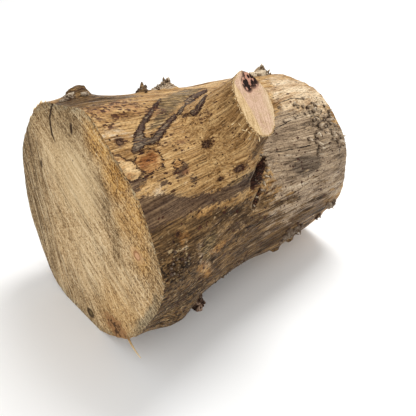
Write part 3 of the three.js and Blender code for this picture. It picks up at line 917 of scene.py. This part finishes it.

# %% [markdown]
# ## The weathered side
# With the bark off, pine is honey brown with darker fibre lines. Where it has lain outdoors it turns silver
# grey above. Low down and underneath it is dark and brown, partly weathered and partly painted shade, and a
# painted highlight makes the top of the thin end nearly white, with some pale bleached patches elsewhere.
# Over that come small dark crumbs of inner bark, beetle holes, and the marks drawn above. Noise roughens each
# mark's edge first.

# %% Weathered side: fibres
WANDER = 4.5            # mm that a fibre strays to either side
weathered_side = start("weathered_side")
grain_mm = stored("grain", "Vector")
astray = vector("SUBTRACT", noise_on(drawn(grain_mm, 60, 22), 2, 0.5, out=1), (0.5, 0.5, 0.5))
flow = vector("ADD", grain_mm, vector("MULTIPLY", astray, (WANDER, WANDER, WANDER)))
broad = clouds(flow, 80, 9, 4, 0.6)
middle_lines = clouds(flow, 52, 3.0, 4, 0.65)
fine_lines = clouds(flow, 30, 1.4, 3, 0.6)
other_lines = clouds(vector("ADD", flow, (31, 17, 5)), 40, 1.4, 2, 0.5)
mottle = clouds(flow, 15, 9, 4, 0.65)
grit = clouds(flow, 2.4, 1.7, 2, 0.6)

streak = strong(mixed((broad, 0.38), (middle_lines, 0.3), (fine_lines, 0.32)), 2.3)
honey = ladder(streak, (0.24, 108, 74, 40), (0.4, 160, 120, 72), (0.52, 188, 148, 96),
               (0.66, 210, 170, 114), (0.8, 228, 192, 138))
dark_wood = ladder(streak, (0.24, 44, 32, 20), (0.4, 78, 57, 34), (0.54, 110, 83, 52),
                   (0.68, 148, 115, 72), (0.82, 188, 150, 98))
silver = ladder(streak, (0.24, 84, 68, 53), (0.4, 144, 122, 98), (0.54, 175, 151, 123),
                (0.68, 201, 178, 149), (0.82, 227, 208, 181))
pale = ladder(streak, (0.24, 150, 116, 80), (0.4, 200, 168, 130), (0.54, 224, 196, 158),
              (0.72, 238, 216, 182))
dust = ladder(streak, (0.24, 44, 36, 30), (0.5, 88, 75, 62), (0.78, 138, 122, 104))

def spread(name, noise_value, amount, low, high):
    """A blot with its edge broken up: noise pushes the stored strength about before it is cut."""
    return mask(stored(name) + (noise_value - 0.5) * amount, low, high)

uneven = mixed((mottle, 0.5), (middle_lines, 0.5))
# Dark brown wood: weathering, and painted shade low down and underneath
colour = lay(spread("weathered_and_shaded", uneven, 2.0, 0.38, 0.6), honey, dark_wood)
colour = lay(spread("silvered", uneven, 2.0, 0.26, 0.5), colour, silver)
# Pale wood: a painted highlight on top of the thin end, and bleached patches elsewhere
colour = lay(spread("bleached_and_highlit", mottle, 1.8, 0.2, 0.65), colour, pale)
colour = lay(spread("dusty", uneven, 2.2, 0.4, 0.8) * 0.6, colour, dust)
limb_shade = mask(stored("limb"), 0.1, 0.6) * mask(uneven, 0.6, 0.36)
torn = spread("torn", mottle, 1.6, 0.25, 0.75)
pits = mask(clouds(flow, 5.5, 2.4, 3, 0.6), 0.46, 0.38) * torn
chips = mask(clouds(flow, 7, 2.6, 2, 0.5), 0.6, 0.66) * torn
for amount, tint in ((limb_shade * 0.85, (104, 75, 45)), (mask(fine_lines, 0.40, 0.32) * 0.5, (72, 48, 28)),
                     (mask(other_lines, 0.62, 0.7) * 0.45, (226, 192, 146)), (pits * 0.9, (38, 27, 19)),
                     (chips * 0.7, (202, 174, 130))):
    colour = lay(amount, colour, tint)
print("weathered side: fibres made")

# %% Weathered side: the drawn marks
ragged = (clouds(flow, 5.5, 2.0, 4, 0.7) - 0.5) * 13.0

def edged(name, push):
    """The stored distance to a mark, with its edge roughened by the fibres."""
    return stored(name) + ragged * push

olive_wood = ladder(strong(fine_lines, 1.8), (0.28, 50, 38, 28), (0.5, 112, 92, 60), (0.7, 168, 140, 96))
orange_wood = ladder(streak, (0.3, 130, 84, 40), (0.5, 184, 132, 72), (0.7, 216, 170, 106))
grey_wood = ladder(streak, (0.22, 36, 26, 22), (0.42, 68, 50, 41), (0.58, 94, 72, 56), (0.8, 142, 114, 84))
colour = lay(mask(edged("olive", 1.3), 2, -3) * 0.85, colour, olive_wood)
colour = lay(mask(edged("orange", 1.3), 2.5, -3.5) * 0.6, colour, orange_wood)
colour = lay(mask(edged("band", 1.4), 1.2, -1.2) * 0.9, colour, grey_wood)

red = edged("red", 0.7)
red_deep = mask(red + (mottle - 0.5) * 16, -2, -6.5)
red_wood = lay(red_deep, ladder(streak, (0.25, 126, 80, 40), (0.5, 186, 138, 84), (0.75, 216, 176, 120)),
               ladder(streak, (0.25, 66, 36, 18), (0.5, 132, 80, 38), (0.75, 176, 120, 66)))
colour = lay(mask(red, 0.8, -1.2), colour, red_wood)
dashes = mask(clouds(grain_mm, 3.2, 3.2, 1, 0.5), 0.46, 0.5)
red_edge = mask(abs(red), 1.4, 0.5) * dashes
cream = edged("cream", 0.5)
colour = lay(mask(cream, 0.4, -0.4), colour,
             ladder(strong(mottle, 1.6), (0.3, 176, 132, 84), (0.5, 214, 176, 124), (0.7, 230, 196, 146)))
cream_edge = mask(abs(cream - 0.9), 1.1, 0.3) * 0.8
bark = edged("bark", 0.6)
bark_in = mask(bark, 0.4, -0.4) * mask(other_lines, 0.66, 0.58)
colour = lay(bark_in, colour, ladder(strong(mixed((mottle, 0.25), (grit, 0.25), (fine_lines, 0.5)), 3.0),
                                     (0.2, 66, 52, 42), (0.5, 109, 91, 73), (0.8, 150, 130, 104)))
colour = lay(bark_in * (mask(broad, 0.46, 0.56) * 0.7), colour, (82, 56, 46))
bark_edge = mask(abs(bark + 0.3), 1.2, 0.4) * mask(mottle, 0.34, 0.5)
outlines = calc("MAXIMUM", calc("MAXIMUM", red_edge, cream_edge), bark_edge)
knot = edged("knot", 0.2)
for amount, tint in ((outlines, (58, 32, 24)), (mask(knot, 1.7, 1.1) * 0.7, (112, 76, 44)),
                     (mask(knot, 1.15, 0.8), (56, 32, 21)), (mask(knot, 0.65, 0.4) * 0.8, (128, 98, 72))):
    colour = lay(amount, colour, tint)
print("weathered side: marks laid")

# %% Weathered side: crumbs, holes and cracks
def crumbs(run, width, size, cover):
    """Dots drawn along the grain, with an uneven edge."""
    near = cells(flow, run, width)
    return mask(near + (grit - 0.5) * 0.7, size, size * 0.72) * shows(near, cover)

speckled = spread("speckled", mottle, 1.2, 0.2, 0.65)
dense = mask(stored("speckled"), 0.6, 1.0) * mask(mottle, 0.36, 0.48)
bits = crumbs(6.0, 4.4, 0.62, 0.75) * dense
bits = calc("MAXIMUM", bits, crumbs(9.0, 6.0, 0.3, speckled * 0.3 + 0.07))
bits = calc("MAXIMUM", bits, crumbs(4.4, 2.8, 0.42, speckled * 0.2 + 0.05))
hair_lines = mask(clouds(flow, 60, 1.3, 2, 0.5), 0.62, 0.68)
for amount, tint in ((mask(uneven, 0.46, 0.58) * (dense * 0.5), (172, 116, 78)), (bits * 0.88, (72, 38, 26)),
                     (hair_lines * 0.6, (66, 44, 28))):
    colour = lay(amount, colour, tint)
crotch = edged("crotch", 0.9)
colour = lay(mask(crotch, 0.8, -0.6), colour,
             ladder(strong(fine_lines, 1.6), (0.3, 22, 12, 9), (0.5, 54, 31, 22), (0.7, 106, 66, 46)))
torn_rim = mask(abs(crotch - 2.4), 1.4, 0.5) * dashes
# The crack lines: one of them is a line of painted shadow under the limb's flank
crack = mask(abs(edged("crack", 0.3)), 0.75, 0.25) * mask(mottle, 0.4, 0.5)
gaps_and_shadow_line = calc("MAXIMUM", mask(cells(grain_mm, 11, 11), 0.1, 0.06), crack)
# The dark ring round each bud stub's foot is painted shadow
for amount, tint in ((torn_rim * 0.35, (196, 172, 140)), (gaps_and_shadow_line, (34, 22, 17)),
                     (mask(edged("stub", 0.35), 3.4, 1.2) * 0.6, (64, 49, 38))):
    colour = lay(amount, colour, tint)
shade = ladder(strong(grit, 1.5), (0.2, 176, 172, 168), (0.5, 236, 236, 236), (0.8, 255, 255, 255))
colour = lay(1.0, colour, shade, "MULTIPLY")

relief = mixed((middle_lines, 0.55), (fine_lines, 0.5), (grit, 0.28))
for cut_in, depth in ((gaps_and_shadow_line, 0.7), (outlines, 0.4), (bits, 0.2), (pits, 0.7), (hair_lines, 0.2)):
    relief = relief - cut_in * depth
end(colour, mask(middle_lines, 0.9, 0.1), relief + chips * 0.4, 1.5)
print("weathered side:", len(tree.nodes), "nodes")

# %% [markdown]
# ## The butt cut
# A chainsaw leaves a flat face with scratches in bundles, slanting one way where the bar went in and another
# way where it was turned to finish. Cut wood darkens in patches: orange and full of dots near the right rim,
# grey where mould has started. Rings hardly show under the dirt.

# %% Butt cut: scratches
butt_cut = start("butt_cut")
sawn_mm = stored("sawn", "Vector")
rim_mm = stored("rim")
bent = vector("MULTIPLY", noise_on(drawn(sawn_mm, 70, 70), 1, 0.5, out=1), (15, 15, 0))
bent = vector("ADD", sawn_mm, bent)

def scratches(turn, run, gap, seed, source=None):
    """Noise drawn out along one slant of the saw."""
    turned = put("Mapping", {"Vector": source or bent, "Rotation": (0, 0, radians(turn))})
    return noise_on(vector("ADD", drawn(turned, run, gap), (seed, seed, seed)), 3, 0.6)

def spot(right, up, half_right, half_up, low=1.6, high=0.4):
    """A soft patch on the cut face, 1 in the middle: its place and its half sizes in mm."""
    moved = put("Mapping", {"Vector": sawn_mm, "Location": (-right / half_right, -up / half_up, 0),
                            "Scale": (1 / half_right, 1 / half_up, 1)})
    return mask(put("VectorMath", {0: moved}, out=1, operation="LENGTH"), low, high)

def spots(*rows):
    """The strongest of several spots: each row is a spot's share and then its own numbers."""
    return strongest(*[(spot(*place), share) for share, *place in rows])

patchy = clouds(sawn_mm, 26, 26, 4, 0.65)
small_patchy = clouds(sawn_mm, 6, 6, 4, 0.65)
stipple = clouds(sawn_mm, 1.9, 1.9, 2, 0.6)
left_side = spots((1.0, -92, -30, 36, 90), (1.0, -60, -96, 60, 46))
fine_saw = lay(spot(20, -70, 60, 60), lay(left_side, scratches(27, 60, 1.7, 0), scratches(64, 70, 1.9, 3)),
               scratches(52, 60, 2.2, 9))
wide_saw = lay(left_side, scratches(24, 110, 4.5, 7), scratches(66, 100, 4.5, 5))
tone = strong(mixed((fine_saw, 0.2), (wide_saw, 0.09), (scratches(78, 80, 2.6, 13), 0.12), (stipple, 0.27),
                    (small_patchy, 0.19), (patchy, 0.13)), 5.2)
clean = ladder(tone, (0.15, 112, 84, 52), (0.36, 166, 136, 96), (0.52, 192, 162, 120),
               (0.68, 210, 182, 140), (0.85, 226, 204, 166))
dull = ladder(tone, (0.15, 70, 54, 36), (0.36, 116, 93, 64), (0.52, 142, 117, 84),
              (0.68, 166, 141, 104), (0.85, 192, 168, 130))
orange = ladder(tone, (0.15, 84, 54, 26), (0.36, 150, 106, 52), (0.52, 182, 138, 78),
                (0.68, 200, 158, 96), (0.85, 216, 180, 122))
grey = ladder(tone, (0.15, 70, 62, 48), (0.5, 134, 121, 97), (0.85, 178, 164, 134))
print("butt cut: scratches made")

# %% Butt cut: patches and dots
dull_here = spots((1.0, -36, 112, 60, 30), (1.0, -112, 24, 24, 66), (0.95, -96, -44, 18, 66),
                  (1.0, 44, 52, 10, 24), (0.8, 60, 18, 8, 34), (1.0, 36, 70, 10, 12), (0.7, 30, 48, 16, 7),
                  (0.9, -70, -84, 12, 40), (0.5, -20, 88, 60, 20), (1.0, -112, -10, 42, 110))
dull_here = strongest((dull_here, 1.0), (mask(rim_mm, 10, 2), 0.7), (mask(patchy, 0.56, 0.66), 0.5))
dull_here = dull_here * mask(strong(patchy, 1.4), 0.0, 0.5)
swath = mask(scratches(48, 150, 17, 31), 0.5, 0.6) * 0.6
colour = lay(calc("MAXIMUM", dull_here, swath), clean, dull)
right_rim = mask(rim_mm, 24, 6) * spot(90, -10, 60, 130, 1.3, 0.8)
orange_here = spots((1.0, 36, 110, 22, 22), (1.0, 62, 84, 22, 22), (0.8, 92, 62, 20, 30),
                    (0.6, 74, 44, 16, 16),
                    (0.7, 100, 22, 14, 20), (0.5, 70, -80, 40, 50))
orange_here = strongest((orange_here, 1.0), (right_rim, 0.45))
colour = lay(orange_here * mask(strong(small_patchy, 1.5), 0.1, 0.55), colour, orange)
colour = lay(spot(-12, 50, 46, 46, 1.3, 0.3) * 0.5, colour, lay(stipple, (178, 150, 108), (224, 198, 154)))
light_here = spots((0.6, 4, 44, 30, 40), (0.5, 10, -20, 24, 50), (0.4, -60, 50, 14, 30),
                   (0.4, 70, -30, 30, 20))
colour = lay(light_here * mask(strong(wide_saw, 1.6), 0.4, 0.7), colour, (224, 200, 160))
low_rim = spot(104, -26, 24, 60) * mask(rim_mm + patchy * 20, 24, 16)
grey_rim = calc("MAXIMUM", mask(rim_mm, 8, 1) * mask(small_patchy, 0.44, 0.56), low_rim)
colour = lay(grey_rim * 0.8, colour, grey)

def dots(cell, size, cover):
    """Dark pin holes."""
    near = cells(sawn_mm, cell, cell)
    return mask(near, size, size * 0.5) * shows(near, cover)

near_rim = strongest((mask(rim_mm, 34, 8), 1.0), (spot(50, 92, 36, 30), 1.0), (spot(96, 0, 24, 70), 0.9))
pin_holes = dots(3.6, 0.42, 0.55) * (near_rim * mask(small_patchy, 0.4, 0.55))
pin_holes = calc("MAXIMUM", pin_holes, dots(7.5, 0.15, 0.5))
pale_scratch = calc("MAXIMUM", mask(scratches(29, 70, 1.6, 11), 0.6, 0.68) * mask(patchy, 0.44, 0.56),
                    mask(scratches(66, 90, 1.8, 17), 0.56, 0.62) * left_side)
dark_scratch = calc("MAXIMUM", mask(scratches(25, 60, 1.6, 23), 0.38, 0.3),
                    mask(scratches(66, 60, 3.2, 29), 0.46, 0.36) * left_side)
edge_streak = mask(scratches(76, 110, 5.5, 37), 0.5, 0.38) * spot(-100, -20, 34, 100, 1.3, 0.6)
ripped = spot(58, -95, 20, 12) + (small_patchy - 0.5) * 3.0
for amount, tint in ((pin_holes * 0.8, (82, 56, 34)), (pale_scratch * 0.75, (234, 214, 178)),
                     (dark_scratch * 0.65, (96, 72, 46)), (edge_streak * 0.8, (76, 58, 38)),
                     (mask(ripped, 0.3, 0.7) * 0.8, (150, 108, 70)),
                     (mask(ripped, 0.9, 1.15) * 0.85, (60, 40, 28))):
    colour = lay(amount, colour, tint)
print("butt cut: patches laid")

# %% Butt cut: crack, knots and finish
across_face = put("SeparateXYZ", {"Vector": sawn_mm})
up_face = Value(across_face.socket.node.outputs[1])
bow = calc("POWER", up_face - 95, 2) * 0.018
line = abs((across_face + 51.5) - bow) + (small_patchy - 0.5) * 3.0
crack = mask(line, 2.2, 0.9) * mask(up_face, 72, 80)
crack = strongest((crack, 1.0), (spot(-11.5, 103, 2.6, 7, 1.1, 0.5), 1.0),
                  (spot(-78, 36, 3, 6, 1.2, 0.4), 0.9), (spot(8, -111, 7.4, 6.2, 1.15, 0.75), 0.92))
for amount, tint in ((spot(93, 20, 10, 7, 1.3, 0.8) * 0.6, (206, 166, 118)),
                     (spot(93, 20, 5.6, 5, 1.15, 0.8) * 0.8, (142, 98, 66)),
                     (spot(93.6, 19.6, 3.6, 3.2, 1.2, 0.7) * 0.85, (206, 160, 122)), (crack, (56, 40, 26)),
                     (spot(9, -110, 3.4, 2.6, 1.3, 0.5), (112, 94, 62))):
    colour = lay(amount, colour, tint)
relief = mixed((fine_saw, 0.6), (stipple, 0.4), (wide_saw, 0.3), (small_patchy, 0.2))
for cut_in, depth in ((crack, 0.8), (pin_holes, 0.35), (dark_scratch, 0.25)):
    relief = relief - cut_in * depth
end(colour, 0.86, relief, 1.2)
print("butt cut:", len(tree.nodes), "nodes")

# %% [markdown]
# ## The two other cuts
# The limb was cut last, so its face is clean: pink heartwood with a cream edge, and black rot holes near its
# top. The thin end of the log is hidden in most views and is a plainer copy of the butt, with rings.

# %% Limb cut
limb_cut = start("limb_cut")
sawn_mm = stored("sawn", "Vector")
rim_mm = stored("rim")
swirl = clouds(sawn_mm, 9, 9, 4, 0.65)
stipple = clouds(sawn_mm, 1.6, 1.6, 2, 0.6)
tone = strong(mixed((scratches(-60, 30, 1.8, 2, sawn_mm), 0.4), (stipple, 0.35), (swirl, 0.25)), 2.0)
cream_wood = ladder(tone, (0.25, 172, 142, 104), (0.5, 206, 178, 140), (0.72, 228, 206, 172))
pink_wood = ladder(tone, (0.25, 164, 126, 106), (0.5, 202, 166, 141), (0.72, 223, 193, 168))
edge_wood = ladder(tone, (0.25, 150, 116, 72), (0.5, 208, 176, 128), (0.72, 232, 206, 162))
heart = spots((0.9, 2, 14, 28, 28, 1.4, 0.6), (0.8, 0, -8, 16, 24, 1.5, 0.7))
heart = heart * mask(rim_mm + swirl * 6, 3.4, 6)
colour = lay(heart * mask(swirl, 0.3, 0.5), cream_wood, pink_wood)
colour = lay(mask(rim_mm + swirl * 4, 2.8, 2.0), colour, (196, 162, 112))
left_rim = spot(-26, 2, 11, 34, 1.3, 0.8) + (stipple - 0.5) * 1.2
colour = lay(mask(left_rim, 0.3, 0.6) * 0.85, colour, edge_wood)
rot_here = spots((1.0, 18, 22, 14, 10, 1.5, 0.8), (1.0, 4, 19, 9, 8, 1.4, 0.7))
rot = mask(cells(sawn_mm, 5, 5) + (swirl - 0.5) * 1.4, 0.74, 0.6) * rot_here
colour = lay(rot_here * 0.6, colour, (178, 112, 94))
colour = lay(rot * mask(rot_here, 0.2, 0.5), colour, (36, 22, 18))
end(colour, 0.85, tone - rot * 1.2, 0.8)
print("limb cut:", len(tree.nodes), "nodes")

# %% Top cut
RING_GAP = 5.5          # mm between year rings
top_cut = start("top_cut")
sawn_mm = stored("sawn", "Vector")
rim_mm = stored("rim")
swirl = clouds(sawn_mm, 40, 40, 3, 0.5)
far = put("VectorMath", {0: sawn_mm}, out=1, operation="LENGTH") + swirl * 26
rings = calc("SINE", far * (2 * pi / RING_GAP))
stipple = clouds(sawn_mm, 1.9, 1.9, 2, 0.6)
tone = mixed((scratches(-20, 60, 1.8, 4, sawn_mm), 0.45), (stipple, 0.3), (rings + 5, 0.05))
tone = strong(tone, 2.0)
grey_here = calc("MAXIMUM", mask(swirl, 0.5, 0.65), mask(rim_mm, 10, 1))
colour = lay(grey_here * 0.7, ladder(tone, (0.2, 110, 80, 52), (0.5, 172, 140, 100), (0.8, 212, 184, 144)),
             ladder(tone, (0.2, 84, 68, 50), (0.8, 156, 134, 106)))
pin_holes = dots(6, 0.2, 0.6)
colour = lay(pin_holes * 0.8, colour, (82, 56, 34))
end(colour, 0.86, tone - pin_holes * 0.4, 1.0)

for finish in (weathered_side, butt_cut, top_cut, limb_cut):
    log_mesh.materials.append(finish)
print("materials:", [m.name for m in log_mesh.materials])

# %% [markdown]
# ## Finishes of the small pieces
# Bud stubs and burrs are pale and dry at their tips and dark at their feet. The splinter and the torn fibres
# are clean new wood. The knob is dark bark with grey on its high places. All use the height and the darkness
# that were stored while they were made, and a darkness below nothing lays a pale colour.

# %% Small pieces
def small_finish(name, steps, darkest, depth):
    """A finish that follows the stored height, with noise over it, and darker where that is stored too."""
    made = start(name)
    place_mm = vector("MULTIPLY", put("TexCoord", {}, out="Object"), (1000, 1000, 1000))
    rough = clouds(place_mm, 1.6, 1.6, 3, 0.6)
    colour = ladder(stored("tipward") + (rough - 0.5) * 1.4, *steps)
    for share, tint in ((0.85, darkest), (-0.7, (224, 204, 172))):
        colour = lay(calc("MAXIMUM", stored("dark") * share, 0), colour, tint)
    end(colour, 0.85, rough, depth)
    return made

dry_stub = small_finish("dry_stub", [(0.0, 46, 36, 29), (0.25, 108, 90, 73), (0.55, 158, 139, 116),
                                     (0.95, 206, 190, 166)], (62, 44, 36), 0.5)
fresh_fibre = small_finish("fresh_fibre", [(0.0, 150, 116, 76), (0.4, 206, 174, 126), (0.9, 236, 212, 168)],
                           (70, 50, 36), 0.2)
knob_bark = small_finish("knob_bark", [(0.2, 30, 20, 15), (0.5, 76, 54, 42), (0.85, 158, 134, 114)],
                         (50, 34, 26), 0.8)
for piece, finish in ((bud_stubs, dry_stub), (hanging_knob, knob_bark), (burrs, dry_stub),
                      (splinter, fresh_fibre), (torn_fibres, fresh_fibre)):
    piece.data.materials.append(finish)
print("small pieces finished")

# %% [markdown]
# ## Floor and light
# A plain pale floor under a bright even sky, with two soft lamps. The key stands high above the thin end, as
# the top of the log is the brightest in the photo, and the fill stands low in front of the butt.

# %% Floor
floor_mesh = bpy.data.meshes.new("floor")
floor_bm = bmesh.new()
bmesh.ops.create_grid(floor_bm, x_segments=1, y_segments=1, size=6)
floor_bm.to_mesh(floor_mesh)
floor_bm.free()
floor = bpy.data.objects.new("floor", floor_mesh)
bpy.context.scene.collection.objects.link(floor)
pale_floor = start("pale_floor")
end(light(244, 244, 243), 0.9, 0.5, 0.1)
floor_mesh.materials.append(pale_floor)
print("floor laid")

# %% Light
world = bpy.data.worlds.new("studio")
bpy.context.scene.world = world
world.use_nodes = True
world.node_tree.nodes["Background"].inputs["Color"].default_value = (1, 1, 1, 1)
world.node_tree.nodes["Background"].inputs["Strength"].default_value = 0.75
bpy.context.scene.view_settings.view_transform = "Standard"

def soft_light(name, place, power, size):
    data = bpy.data.lights.new(name, "AREA")
    data.energy, data.size = power, size
    lamp = bpy.data.objects.new(name, data)
    lamp.location = place
    lamp.rotation_euler = (Vector((0, 0, 0.1)) - Vector(place)).to_track_quat("-Z", "Y").to_euler()
    bpy.context.scene.collection.objects.link(lamp)

soft_light("key", (0.55, 0.25, 1.4), 15, 0.6)
soft_light("fill", (-1.3, -0.9, 0.7), 7, 1.0)
